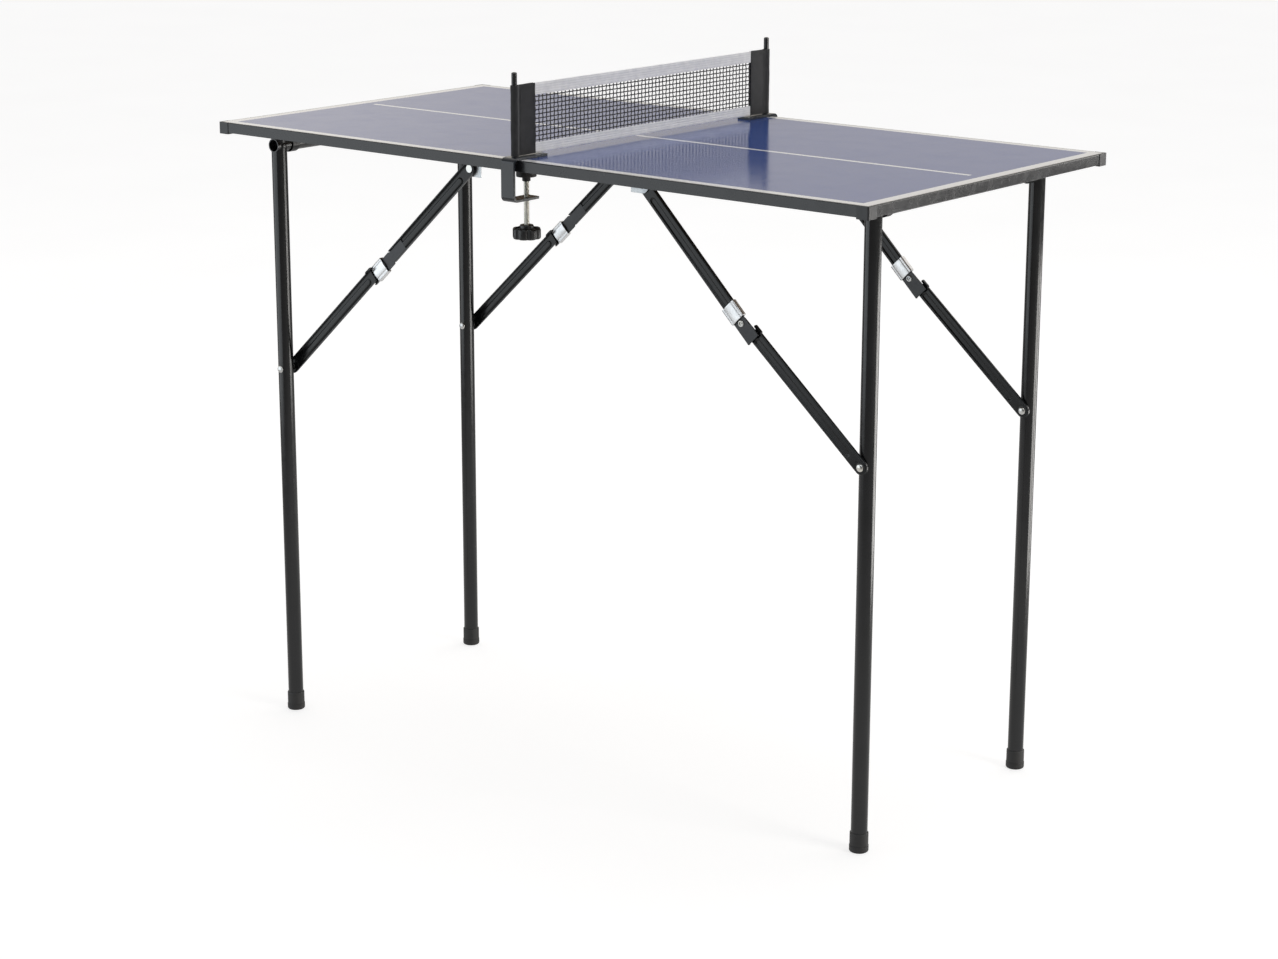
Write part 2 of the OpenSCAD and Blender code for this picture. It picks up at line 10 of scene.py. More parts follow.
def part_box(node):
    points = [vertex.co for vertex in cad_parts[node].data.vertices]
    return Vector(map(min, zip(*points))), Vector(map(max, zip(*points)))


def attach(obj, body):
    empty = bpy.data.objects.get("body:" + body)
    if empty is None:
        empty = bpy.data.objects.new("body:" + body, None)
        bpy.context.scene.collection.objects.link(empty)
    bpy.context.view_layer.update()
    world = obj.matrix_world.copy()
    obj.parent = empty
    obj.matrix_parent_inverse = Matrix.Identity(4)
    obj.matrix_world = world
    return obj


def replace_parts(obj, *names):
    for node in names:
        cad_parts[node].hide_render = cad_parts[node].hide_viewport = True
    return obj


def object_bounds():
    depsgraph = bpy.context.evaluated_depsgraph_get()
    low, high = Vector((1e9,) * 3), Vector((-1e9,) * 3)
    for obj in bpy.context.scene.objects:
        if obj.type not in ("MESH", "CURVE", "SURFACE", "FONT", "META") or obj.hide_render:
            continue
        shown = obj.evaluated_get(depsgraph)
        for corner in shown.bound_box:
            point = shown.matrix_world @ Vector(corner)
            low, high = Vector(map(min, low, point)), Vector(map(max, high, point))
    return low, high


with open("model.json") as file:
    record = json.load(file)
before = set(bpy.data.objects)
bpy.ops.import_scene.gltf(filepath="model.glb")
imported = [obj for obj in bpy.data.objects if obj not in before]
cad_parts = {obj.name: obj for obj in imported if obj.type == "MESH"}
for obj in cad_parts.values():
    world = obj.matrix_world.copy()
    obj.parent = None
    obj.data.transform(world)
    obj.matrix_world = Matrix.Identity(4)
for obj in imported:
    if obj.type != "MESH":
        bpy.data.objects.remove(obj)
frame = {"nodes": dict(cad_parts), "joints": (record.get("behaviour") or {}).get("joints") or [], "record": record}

cad_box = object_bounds()
NODES = frame["nodes"]
MM = 0.001
TAU = 2 * math.pi
LEGS = ("front_left", "back_left", "front_right", "back_right")
SIDES = ("near", "far")
body_of = {node: body for body, members in frame["record"]["behaviour"]["bodies"].items()
           for node in members}
joint_at = {j["name"]: Vector(j["pos_m"]) for j in frame["joints"] if "pos_m" in j}


def centre(node):
    low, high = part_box(node)
    return (low + high) / 2


# ---------------------------------------------------------------- materials

class Look:
    """A procedural material: object coordinates feed noise, which varies its colour, gloss and bump."""

    def __init__(self, name):
        self.material = bpy.data.materials.new(name)
        self.material.use_nodes = True
        self.tree = self.material.node_tree
        self.shader = self.tree.nodes["Principled BSDF"]
        self.place = self.tree.nodes.new("ShaderNodeTexCoord").outputs["Object"]
        self.height = None

    def set(self, **values):
        for name, value in values.items():
            self.shader.inputs[name.replace("_", " ")].default_value = value
        return self

    def new(self, kind, **settings):
        made = self.tree.nodes.new(kind)
        for name, value in settings.items():
            setattr(made, name, value)
        return made

    def link(self, source, target):
        self.tree.links.new(source, target)

    def math(self, operation, a, b=None):
        made = self.new("ShaderNodeMath", operation=operation)
        for socket, value in zip(made.inputs, (a, b)):
            if isinstance(value, (int, float)):
                socket.default_value = value
            elif value is not None:
                self.link(value, socket)
        return made.outputs[0]

    def noise(self, scale, detail=2.0, rough=0.5):
        made = self.new("ShaderNodeTexNoise")
        made.inputs["Scale"].default_value = scale
        made.inputs["Detail"].default_value = detail
        made.inputs["Roughness"].default_value = rough
        self.link(self.place, made.inputs["Vector"])
        return made.outputs["Fac"]

    def wave(self, scale, direction):
        made = self.new("ShaderNodeTexWave", bands_direction=direction)
        made.inputs["Scale"].default_value = scale
        self.link(self.place, made.inputs["Vector"])
        return made.outputs["Fac"]

    def ramp(self, value, low, high, at=(0.3, 0.7)):
        """A value or a colour that runs from low to high as value goes through the span `at`."""
        if isinstance(low, (int, float)):
            made = self.new("ShaderNodeMapRange")
            made.inputs["From Min"].default_value, made.inputs["From Max"].default_value = at
            made.inputs["To Min"].default_value, made.inputs["To Max"].default_value = low, high
            self.link(value, made.inputs["Value"])
            return made.outputs["Result"]
        made = self.new("ShaderNodeValToRGB")
        for element, place, colour in zip(made.color_ramp.elements, at, (low, high)):
            element.position, element.color = place, (*colour, 1)
        self.link(value, made.inputs["Fac"])
        return made.outputs["Color"]

    def mix(self, fac, a, b):
        made = self.new("ShaderNodeMix", data_type="RGBA")
        self.link(fac, made.inputs["Factor"])
        for socket, colour in ((made.inputs[6], a), (made.inputs[7], b)):
            if isinstance(colour, tuple):
                socket.default_value = (*colour, 1)
            else:
                self.link(colour, socket)
        return made.outputs[2]

    def colour(self, source):
        self.link(source, self.shader.inputs["Base Color"])
        return self

    def gloss(self, source):
        self.link(source, self.shader.inputs["Roughness"])
        return self

    def bump(self, source, depth):
        """Adds a layer of relief that is `depth` metres high."""
        made = self.new("ShaderNodeBump")
        made.inputs["Distance"].default_value = depth
        made.inputs["Strength"].default_value = 1.0
        self.link(source, made.inputs["Height"])
        if self.height:
            self.link(self.height, made.inputs["Normal"])
        self.height = made.outputs["Normal"]
        self.link(self.height, self.shader.inputs["Normal"])
        return self


def coated(name, dark, light, rough, peel=0.000002, peel_scale=450, wear=0.08, **more):
    """Paint or moulded plastic: nearly even colour, uneven gloss and a fine orange peel."""
    look = Look(name).set(**more)
    cloud = look.noise(35, 3)
    look.colour(look.ramp(cloud, dark, light))
    look.gloss(look.ramp(look.noise(90, 4), rough, rough + wear))
    return look.bump(look.noise(peel_scale, 2), peel)


def laminate():
    """A printed and lacquered board: blue field, white lines, raw fibre board underneath."""
    look = Look("laminate").set(IOR=1.5)
    blue_dark, blue_light = (0.028, 0.062, 0.230), (0.035, 0.078, 0.285)
    white_dark, white_light = (0.70, 0.70, 0.71), (0.77, 0.77, 0.78)
    half_length, half_width = cad_box[1].x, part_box("playing_board")[1].y
    border_x, border_y = half_length - 16.1 * MM, half_width - 11.1 * MM
    line_half_width, line_reach = 3.0 * MM, border_x - 13.5 * MM
    split = look.new("ShaderNodeSeparateXYZ")
    look.link(look.place, split.inputs[0])
    x = look.math("ABSOLUTE", split.outputs["X"])
    y = look.math("ABSOLUTE", split.outputs["Y"])
    border = look.math("MAXIMUM", look.math("GREATER_THAN", x, border_x),
                       look.math("GREATER_THAN", y, border_y))
    line = look.math("MULTIPLY", look.math("LESS_THAN", y, line_half_width),
                     look.math("LESS_THAN", x, line_reach))
    paint = look.math("MAXIMUM", border, line)
    grain = look.noise(420, 4)
    blue = look.ramp(grain, blue_dark, blue_light)
    white = look.ramp(grain, white_dark, white_light)
    top = look.mix(paint, blue, white)
    fibre = look.ramp(look.noise(900, 5, rough=0.7), (0.16, 0.095, 0.048), (0.34, 0.22, 0.125))
    on_top = look.math("GREATER_THAN", split.outputs["Z"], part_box("playing_board")[0].z + 1.0 * MM)
    look.colour(look.mix(on_top, fibre, top))
    lacquer = look.ramp(look.noise(28, 3), 0.12, 0.17)
    raw = look.math("MULTIPLY", look.math("SUBTRACT", 1.0, on_top), 0.55)
    look.gloss(look.math("ADD", lacquer, raw))
    look.bump(look.noise(260, 2), 0.000002)
    return look


def brushed_metal(name, dark, light, rough):
    """Bare or plated metal, with slightly uneven colour, gloss and surface."""
    look = Look(name).set(Metallic=1.0)
    look.colour(look.ramp(look.noise(60, 3), dark, light))
    look.gloss(look.ramp(look.noise(160, 4), rough, rough + 0.12))
    return look.bump(look.noise(800, 3), 0.000006)


def cloth(name, dark, light, thread, depth, rough=0.85, rib=0):
    """Woven cloth: two crossing sets of threads, slightly uneven in colour, with ribs along it if asked."""
    look = Look(name).set(Sheen_Weight=0.2, Sheen_Roughness=0.5, Roughness=rough)
    across, up = look.wave(thread, "Y"), look.wave(thread, "Z")
    weave = look.math("MULTIPLY", across, up)
    shade = look.mix(look.ramp(look.noise(120, 4), 0.0, 1.0),
                     look.ramp(weave, dark, light, (0.0, 0.8)), light)
    if rib:
        ribs = look.wave(rib, "Z")
        shade = look.mix(look.ramp(ribs, 0.0, 0.45, (0.2, 0.9)), shade, dark)
        look.bump(ribs, 2 * depth)
    look.colour(shade)
    look.bump(weave, depth)
    return look.bump(look.noise(2500, 2), depth / 2)


LOOKS = {
    "board_laminate": laminate(),
    "rail_black": coated("rail_black", (0.016, 0.017, 0.019), (0.026, 0.027, 0.030), 0.22),
    "cap_plastic": coated("cap_plastic", (0.018, 0.019, 0.021), (0.03, 0.031, 0.033), 0.36, 0.00001, 1500),
    "black_tube": coated("black_tube", (0.008, 0.0085, 0.009), (0.014, 0.0145, 0.016), 0.13),
    "black_arm": coated("black_arm", (0.008, 0.009, 0.010), (0.014, 0.0155, 0.017), 0.18,
                        Specular_IOR_Level=0.32),
    "knuckle_steel": coated("knuckle_steel", (0.022, 0.025, 0.030), (0.032, 0.036, 0.042), 0.34),
    "sleeve_aluminium": brushed_metal("sleeve_aluminium", (0.64, 0.645, 0.65), (0.73, 0.73, 0.73), 0.3),
    "zinc": brushed_metal("zinc", (0.50, 0.52, 0.54), (0.68, 0.66, 0.60), 0.22),
    "tab_zinc": brushed_metal("tab_zinc", (0.40, 0.42, 0.44), (0.55, 0.56, 0.56), 0.34),
    "clamp_steel": coated("clamp_steel", (0.016, 0.019, 0.024), (0.026, 0.030, 0.036), 0.16),
    "post_black": coated("post_black", (0.008, 0.0085, 0.0085), (0.014, 0.014, 0.0145), 0.18),
    "screw_zinc": brushed_metal("screw_zinc", (0.60, 0.60, 0.54), (0.78, 0.76, 0.68), 0.24),
    "knob_plastic": coated("knob_plastic", (0.010, 0.010, 0.011), (0.017, 0.017, 0.018), 0.27,
                           0.000006, 1200),
    "pad_rubber": coated("pad_rubber", (0.012, 0.012, 0.012), (0.022, 0.021, 0.02), 0.6, 0.00003, 900),
    "foot_rubber": coated("foot_rubber", (0.020, 0.020, 0.020), (0.032, 0.031, 0.030), 0.52, 0.00002, 1100),
    "net_cord": cloth("net_cord", (0.012, 0.011, 0.011), (0.045, 0.042, 0.041), 900, 0.00008, 0.8),
    "net_tape": cloth("net_tape", (0.74, 0.74, 0.76), (0.94, 0.94, 0.94), 420, 0.00008, rib=120),
    "net_pocket": cloth("net_pocket", (0.008, 0.008, 0.0085), (0.020, 0.020, 0.021), 520, 0.00010, 0.8),
    "stitching": cloth("stitching", (0.72, 0.72, 0.73), (0.90, 0.90, 0.91), 1500, 0.00006),
}

SLOT_OF = {
    "board_laminate": ["playing_board"],
    "rail_black": ["near_side_rail", "far_side_rail", "left_end_rail", "right_end_rail"],
    "cap_plastic": ["corner_caps"],
    "black_tube": ["left_cross_tube", "right_cross_tube"] + [leg + "_leg" for leg in LEGS],
    "black_arm": ["hinge_saddles"] + [leg + part for leg in LEGS for part in ("_upper_arm", "_lower_arm")],
    "knuckle_steel": [leg + "_knuckle" for leg in LEGS],
    "sleeve_aluminium": [leg + "_lock_sleeve" for leg in LEGS],
    "zinc": ["tab_rivets", "left_leg_rivets", "right_leg_rivets"]
            + [leg + part for leg in LEGS for part in ("_knuckle_rivet", "_arm_rivet")],
    "tab_zinc": ["brace_tabs"],
    "clamp_steel": ["near_clamp", "far_clamp"],
    "post_black": ["near_post", "far_post"],
    "screw_zinc": ["near_clamp_screw", "far_clamp_screw", "underside_screws"],
    "knob_plastic": ["near_knob", "far_knob"],
    "pad_rubber": ["near_pad", "far_pad"],
    "foot_rubber": [leg + "_foot" for leg in LEGS],
    "net_cord": ["net_mesh"],
    "net_tape": ["net_tapes"],
    "net_pocket": ["near_net_sleeve", "far_net_sleeve"],
}
slot_of = {node: slot for slot, members in SLOT_OF.items() for node in members}

for node, obj in NODES.items():
    obj.data.materials.clear()
    obj.data.materials.append(LOOKS[slot_of[node]].material)


# ---------------------------------------------------------------- shapes

class Shape:
    """Faces gathered from rings of points. Points are in millimetres of a local frame."""

    def __init__(self, place=None):
        self.place = place or Matrix.Identity(4)
        self.verts, self.faces = [], []

    def point(self, p):
        return self.place @ (Vector(p) * MM)

    def rings(self, rings, loop=False, caps=True):
        """Joins rings of as many points each. A loop joins the last ring to the first."""
        base, count = len(self.verts), len(rings[0])
        self.verts += [self.point(p) for ring in rings for p in ring]
        spans = len(rings) if loop else len(rings) - 1
        for i in range(spans):
            a, b = base + i * count, base + (i + 1) % len(rings) * count
            for k in range(count):
                n = (k + 1) % count
                self.faces.append((a + k, a + n, b + n, b + k))
        if caps and not loop:
            self.faces.append(tuple(range(base + count - 1, base - 1, -1)))
            self.faces.append(tuple(range(base + (len(rings) - 1) * count, base + len(rings) * count)))
        return self

    def lathe(self, profile, steps=32, axis=None):
        """Turns (radius, z) points round the local z axis."""
        turn = axis or Matrix.Identity(3)
        return self.rings([[turn @ Vector((r * math.cos(TAU * k / steps), r * math.sin(TAU * k / steps), z))
                            for k in range(steps)] for r, z in profile])

    def rod(self, path, radius, steps=6, up=Vector((0, 0, 1))):
        """A cord along a path, with flat ends. radius is one size, or a pair for an oval cord."""
        wide, tall = radius if isinstance(radius, tuple) else (radius, radius)
        rings = []
        for i, p in enumerate(path):
            ahead = (path[min(i + 1, len(path) - 1)] - path[max(i - 1, 0)]).normalized()
            side = ahead.cross(up).normalized()
            over = side.cross(ahead)
            rings.append([p + side * (wide * math.cos(TAU * k / steps))
                          + over * (tall * math.sin(TAU * k / steps)) for k in range(steps)])
        return self.rings(rings)

    def make(self, name, slot, body, sharp=40, look=None):
        mesh = bpy.data.meshes.new(name)
        mesh.from_pydata(self.verts, [], self.faces)
        shape = bmesh.new()
        shape.from_mesh(mesh)
        bmesh.ops.recalc_face_normals(shape, faces=shape.faces)
        shape.to_mesh(mesh)
        shape.free()
        mesh.polygons.foreach_set("use_smooth", [True] * len(mesh.polygons))
        mesh.set_sharp_from_angle(angle=math.radians(sharp))
        return finished(mesh, name, slot, body, look)


def finished(mesh, name, slot, body, look=None):
    mesh.materials.clear()
    mesh.materials.append(LOOKS[look or slot].material)
    obj = bpy.data.objects.new(name, mesh)
    bpy.context.scene.collection.objects.link(obj)
    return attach(obj, body)


def frame_at(origin, x_axis, y_axis, z_axis):
    place = Matrix((x_axis, y_axis, z_axis)).transposed().to_4x4()
    place.translation = origin
    return place


def away_from_leg(leg):
    """The braces stand on the -Y side of the right-hand legs, and on the +Y side of the left ones."""
    return Vector((0, -1 if "right" in leg else 1, 0))


def brace_place(leg, lower=False):
    """Frame of an arm: x along the arm from the knuckle rivet's axis, z outward from the leg."""
    knuckle, away = centre(leg + "_knuckle_rivet"), away_from_leg(leg)
    start, end = ((knuckle, centre(leg + "_arm_rivet")) if lower
                  else (joint_at[leg + "_upper_brace_swing"], knuckle))
    along = Vector((end.x - start.x, 0, end.z - start.z)).normalized()
    at = centre(leg + "_arm_rivet") if lower else knuckle
    return frame_at(Vector((at.x, centre(leg + "_leg").y, at.z)), along, away.cross(along), away)


def edged(node, width):
    """A copy of a CAD node with its hard edges rounded, which stands for it."""
    shape = bmesh.new()
    shape.from_mesh(NODES[node].data)
    bmesh.ops.remove_doubles(shape, verts=shape.verts, dist=1e-6)
    bmesh.ops.dissolve_limit(shape, angle_limit=math.radians(1.0), verts=shape.verts, edges=shape.edges)
    shape.verts.index_update()
    mesh = bpy.data.meshes.new(node + "_edged")
    mesh.from_pydata([tuple(v.co) for v in shape.verts], [],
                     [[v.index for v in f.verts] for f in shape.faces])
    shape.free()
    mesh.polygons.foreach_set("use_smooth", [True] * len(mesh.polygons))
    rough = bpy.data.objects.new("rough", mesh)
    bpy.context.scene.collection.objects.link(rough)
    bevel = rough.modifiers.new("edge", "BEVEL")
    bevel.width, bevel.segments = width * MM, 2
    bevel.limit_method, bevel.angle_limit = "ANGLE", math.radians(32)
    bevel.use_clamp_overlap = True
    flat = rough.modifiers.new("flat", "WEIGHTED_NORMAL")
    flat.mode, flat.weight, flat.keep_sharp = "FACE_AREA", 100, False
    graph = bpy.context.evaluated_depsgraph_get()
    rounded = bpy.data.meshes.new_from_object(rough.evaluated_get(graph))
    bpy.data.objects.remove(rough)
    piece = finished(rounded, node + "_edged", slot_of[node], body_of[node])
    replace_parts(piece, node)


EDGES = {
    "near_side_rail": 0.35, "far_side_rail": 0.35, "left_end_rail": 0.35, "right_end_rail": 0.35,
    "corner_caps": 0.45, "hinge_saddles": 0.25, "brace_tabs": 0.25,
    "near_clamp": 0.6, "far_clamp": 0.6, "near_pad": 0.6, "far_pad": 0.6,
}
for leg in LEGS:
    EDGES[leg + "_knuckle"] = 0.42
for node, width in EDGES.items():
    edged(node, width)


# ---------------------------------------------------------------- pressed arms

ARM_HALF, STEEL = 8.0, 1.3
# Layers of a brace: distances outward from the leg's axis.
LOWER_ARM, UPPER_ARM, TONGUE = (10.9, 14.3), (15.9, 19.9), (15.9, 17.2)
CHEEK_FACE, TAB_FACE = 18.6, 21.7
STEP_AT = 15.0  # from the knuckle rivet to the step behind the tongue


def smooth(t):
    t = min(1.0, max(0.0, t))
    return t * t * (3 - 2 * t)


def pressed_arm(leg, lower):
    """A channel of pressed steel with a sunk bead, rounded round its rivet and cut square at the knuckle."""
    node = leg + ("_lower_arm" if lower else "_upper_arm")
    place = brace_place(leg, lower)
    ends = (centre(leg + "_knuckle_rivet"),
            centre(leg + "_arm_rivet") if lower else joint_at[leg + "_upper_brace_swing"])
    reach = math.hypot(ends[0].x - ends[1].x, ends[0].z - ends[1].z) / MM
    base, face, cut = (*LOWER_ARM, STEP_AT) if lower else (*UPPER_ARM, 22.0)
    length, turn_x, way = reach - cut, (0.0 if lower else -reach), (-1 if lower else 1)
    lip_r, bead_in, bead_deep, bead_half, bead_off = 1.7, 21.0, 1.2, 3.2, -1.3
    bead_out = 11.0 if lower else 3.0

    stations = [-ARM_HALF * math.cos(math.radians(a)) for a in (5, 9, 14, 20, 27, 35, 44, 54, 66, 78, 90)]
    bead_from, bead_to = bead_in, length - bead_out
    fine = [bead_from + 0.7 * k for k in range(-7, 6)]
    stations += [1.5, 3.0, 4.2, 4.9, 5.5, 6.1, 6.8, 8.5, 11.0, *fine]
    u = fine[-1]
    while u + 6 < bead_to - 4.0:
        u += 6
        stations.append(u)
    tail = [bead_to + 0.7 * k for k in range(-5, 8)] + [bead_to + 9]
    stations += [u for u in tail if u < length - 0.3] + [length]
    spread = [0, 0.012, 0.03, 0.055, 0.085, 0.12, 0.16, 0.205]
    spread += [0.205 + 0.59 * k / 20 for k in range(1, 20)] + [1 - t for t in reversed(spread[:8])]

    def top(u, y):
        edge = ARM_HALF - (math.hypot(u, y) if u < 0 else abs(y))
        fall = 0.0 if edge >= lip_r else lip_r - math.sqrt(max(0.0, lip_r ** 2 - (lip_r - max(edge, 0)) ** 2))
        along = max(bead_from - u, 0.0, u - bead_to)
        off = math.hypot(along, y - bead_off)
        sunk = bead_deep * (1 - smooth((off - bead_half + 1.0) / 1.5))
        ring = 0.14 * (1 - smooth(abs(math.hypot(u, y) - 5.7) / 1.0))
        return face - fall - max(sunk, ring)

    verts, faces = [], []
    count = len(spread)
    for u in stations:
        half = math.sqrt(max(ARM_HALF ** 2 - u ** 2, 0)) if u < 0 else ARM_HALF
        for t in spread:
            y = half * (2 * t - 1)
            verts.append((turn_x + way * u, y, top(u, y)))
    for i in range(len(stations) - 1):
        for k in range(count - 1):
            a = i * count + k
            faces.append((a, a + 1, a + count + 1, a + count))
    rim = [i * count for i in reversed(range(len(stations)))] + list(range(1, count))
    rim += [i * count + count - 1 for i in range(1, len(stations))]
    previous = rim
    for z in (face - lip_r - 0.6, base + 0.5, base):
        row = [len(verts) + k for k in range(len(rim))]
        verts += [(verts[v][0], verts[v][1], z) for v in rim]
        faces += [(previous[k], previous[k + 1], row[k + 1], row[k]) for k in range(len(rim) - 1)]
        previous = row

    mesh = bpy.data.meshes.new(node)
    mesh.from_pydata([tuple(place @ (Vector(v) * MM)) for v in verts], [], faces)
    shape = bmesh.new()
    shape.from_mesh(mesh)
    bmesh.ops.recalc_face_normals(shape, faces=shape.faces)
    outward = sum(((f.normal @ place.col[2].to_3d()) * f.calc_area() for f in shape.faces), 0.0)
    if outward < 0:
        bmesh.ops.reverse_faces(shape, faces=shape.faces)
    shape.to_mesh(mesh)
    shape.free()
    rough = bpy.data.objects.new("rough", mesh)
    bpy.context.scene.collection.objects.link(rough)
    solid = rough.modifiers.new("steel", "SOLIDIFY")
    solid.thickness, solid.offset, solid.use_even_offset = STEEL * MM, -1, True
    made = bpy.data.meshes.new_from_object(rough.evaluated_get(bpy.context.evaluated_depsgraph_get()))
    bpy.data.objects.remove(rough)
    made.polygons.foreach_set("use_smooth", [True] * len(made.polygons))
    made.set_sharp_from_angle(angle=math.radians(50))
    piece = finished(made, node + "_pressed", "black_arm", body_of[node])
    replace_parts(piece, node)
    if lower:
        knuckle_end(leg, reach)


def plate(shape, outline, low, high, edge=0.3):
    """A flat plate with eased edges; the outline is convex, in x and y."""
    mid = Vector((sum(p[0] for p in outline) / len(outline), sum(p[1] for p in outline) / len(outline)))
    ease = [(low, edge), (low + edge, 0.0), (high - edge, 0.0), (high, edge)]
    rings = []
    for z, inset in ease:
        ring = []
        for p in outline:
            d = Vector(p) - mid
            q = mid + d * max(0.0, 1 - inset / d.length)
            ring.append((q.x, q.y, z))
        rings.append(ring)
    shape.rings(rings)


def knuckle_end(leg, reach):
    """The lower arm's tongue, the step that carries it, and the ear beside the knuckle."""
    node = leg + "_lower_arm"
    shape = Shape(brace_place(leg, lower=True))
    half, x0 = 7.3, -reach
    step, step_end = x0 + STEP_AT, x0 + STEP_AT + STEEL
    outline = [(x0 + half * math.cos(a), half * math.sin(a))
               for a in (math.pi / 2 + math.pi * k / 24 for k in range(25))]
    outline += [(step_end, -half), (step_end, half)]
    plate(shape, outline, *TONGUE)
    box = [(step, -half), (step_end, -half), (step_end, half), (step, half)]
    plate(shape, box, 13.2, TONGUE[1], 0.2)
    ear = [(x0 + 12.0, 6.8), (x0 + 22.5, 6.8), (x0 + 22.5, 8.0), (x0 + 21.8, 9.3), (x0 + 21.0, 9.6),
           (x0 + 12.2, 9.6), (x0 + 11.3, 9.2), (x0 + 11.0, 8.4), (x0 + 11.2, 7.2)]
    plate(shape, ear, *LOWER_ARM, 0.35)
    shape.make(node + "_tongue", "black_arm", body_of[node], 35)


for leg in LEGS:
    pressed_arm(leg, False)
    pressed_arm(leg, True)


# ---------------------------------------------------------------- rivets and screws

RIVET_PIN = 2.5


def rivet_head(shape, radius, rise, at=0.0, turn=None):
    """A tubular rivet's head: a rolled rim round a sunk centre with a small point."""
    r, h = radius, rise
    shape.lathe([(r - 0.5, at - 0.6), (r, at), (0.99 * r, at + 0.35 * h), (0.94 * r, at + 0.62 * h),
                 (0.86 * r, at + 0.84 * h), (0.77 * r, at + 0.95 * h), (0.69 * r, at + h),
                 (0.61 * r, at + 0.92 * h), (0.56 * r, at + 0.68 * h), (0.51 * r, at + 0.28 * h),
                 (0.44 * r, at + 0.08 * h), (0.36 * r, at + 0.08 * h), (0.29 * r, at + 0.30 * h),
                 (0.18 * r, at + 0.52 * h), (0.06 * r, at + 0.60 * h)], 40, turn)


def domed_head(shape, radius, rise, at=0.0, turn=None):
    """A solid rivet's head: a smooth dome."""
    profile = [(radius - 0.5, at - 0.6), (radius - 0.1, at)]
    profile += [(radius * math.cos(a), at + rise * math.sin(a))
                for a in (math.pi / 2 * k / 14 for k in range(1, 14))]
    shape.lathe(profile, 40, turn)


def turned(axis):
    """Rotation that lays the local z axis along another one."""
    return Vector((0, 0, 1)).rotation_difference(Vector(axis)).to_matrix()


for leg in LEGS:
    shape = Shape(brace_place(leg))
    shape.lathe([(RIVET_PIN, TONGUE[0]), (RIVET_PIN, CHEEK_FACE)], 32)
    rivet_head(shape, 3.7, 1.5, CHEEK_FACE)
    piece = shape.make(leg + "_knuckle_rivet_rolled", "zinc", body_of[leg + "_knuckle_rivet"])
    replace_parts(piece, leg + "_knuckle_rivet")

    shape = Shape(brace_place(leg, lower=True))
    shape.lathe([(RIVET_PIN, LOWER_ARM[1] - STEEL), (RIVET_PIN, LOWER_ARM[1])], 32)
    domed_head(shape, 4.3, 2.0, LOWER_ARM[1])
    piece = shape.make(leg + "_arm_rivet_rolled", "zinc", body_of[leg + "_arm_rivet"])
    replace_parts(piece, leg + "_arm_rivet")

for end in ("left", "right"):
    shape, painted = Shape(), Shape()
    turn_z = joint_at[end + "_legs_fold"].z / MM
    for leg in [name for name in LEGS if end in name]:
        tube, away = centre(leg + "_leg"), away_from_leg(leg)
        rivet_z = centre(leg + "_arm_rivet").z
        shape.place = frame_at(Vector((tube.x, tube.y, rivet_z)), *turned(away).transposed())
        shape.lathe([(RIVET_PIN, -9.5), (RIVET_PIN, 9.0)], 32)
        shape.lathe([(3.9, 9.0), (4.5, 9.3), (4.5, 10.3), (4.2, 10.6)], 40)
        domed_head(shape, 4.3, 2.2, 9.0, turned((0, 0, -1)))
        painted.place = Matrix.Translation(Vector((tube.x, tube.y, turn_z * MM)))
        for s in (-1, 1):
            domed_head(painted, 3.4, 0.9, 9.0, turned((s, 0, 0)))
        painted.lathe([(RIVET_PIN, -9.0), (RIVET_PIN, 9.0)], 32, turned((1, 0, 0)))
    piece = shape.make(end + "_leg_rivets_rolled", "zinc", end + "_leg_frame")
    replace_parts(piece, end + "_leg_rivets")
    painted.make(end + "_leg_top_rivets", "black_tube", end + "_leg_frame")

shape = Shape()
for leg in LEGS:
    pivot, away = joint_at[leg + "_upper_brace_swing"], away_from_leg(leg)
    shape.place = frame_at(Vector((pivot.x, centre(leg + "_leg").y, pivot.z)), *turned(away).transposed())
    shape.lathe([(4.3, 17.1), (4.3, 18.0), (4.0, 18.3)], 40)
    shape.lathe([(RIVET_PIN, 17.3), (RIVET_PIN, TAB_FACE)], 32)
    domed_head(shape, 4.3, 2.0, TAB_FACE)
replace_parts(shape.make("tab_rivets_rolled", "zinc", "table_top"), "tab_rivets")


def cross_recess(piece_shape, spots, under, radius, rise):
    """Pan heads below a plate, each with a pressed cross."""
    steps = 48
    for x, y, shank_top in spots:
        piece_shape.place = Matrix.Translation(Vector((x, y, under))) @ Matrix.Rotation(math.pi, 4, "X")
        rings = []
        for r, z, deep in ((1.7, -shank_top, 0), (1.7, -0.1, 0), (radius - 0.3, 0.0, 0), (radius, 0.25, 0),
                           (radius - 0.1, 0.7, 0), (radius - 0.5, 1.2, 0), (0.68 * radius, 1.65, 0),
                           (0.60 * radius, 1.72, 0.2), (0.50 * radius, 1.78, 1), (0.34 * radius, 1.80, 1),
                           (0.18 * radius, 1.80, 1.4), (0.05 * radius, 1.80, 1.4)):
            ring = []
            for k in range(steps):
                arm = max(0.0, math.cos(4 * TAU * k / steps)) ** 3
                if r < 0.3 * radius:
                    arm = 1.0
                ring.append((r * math.cos(TAU * k / steps), r * math.sin(TAU * k / steps),
                             min(z, rise) - 0.6 * deep * arm))
            rings.append(ring)
        piece_shape.rings(rings)


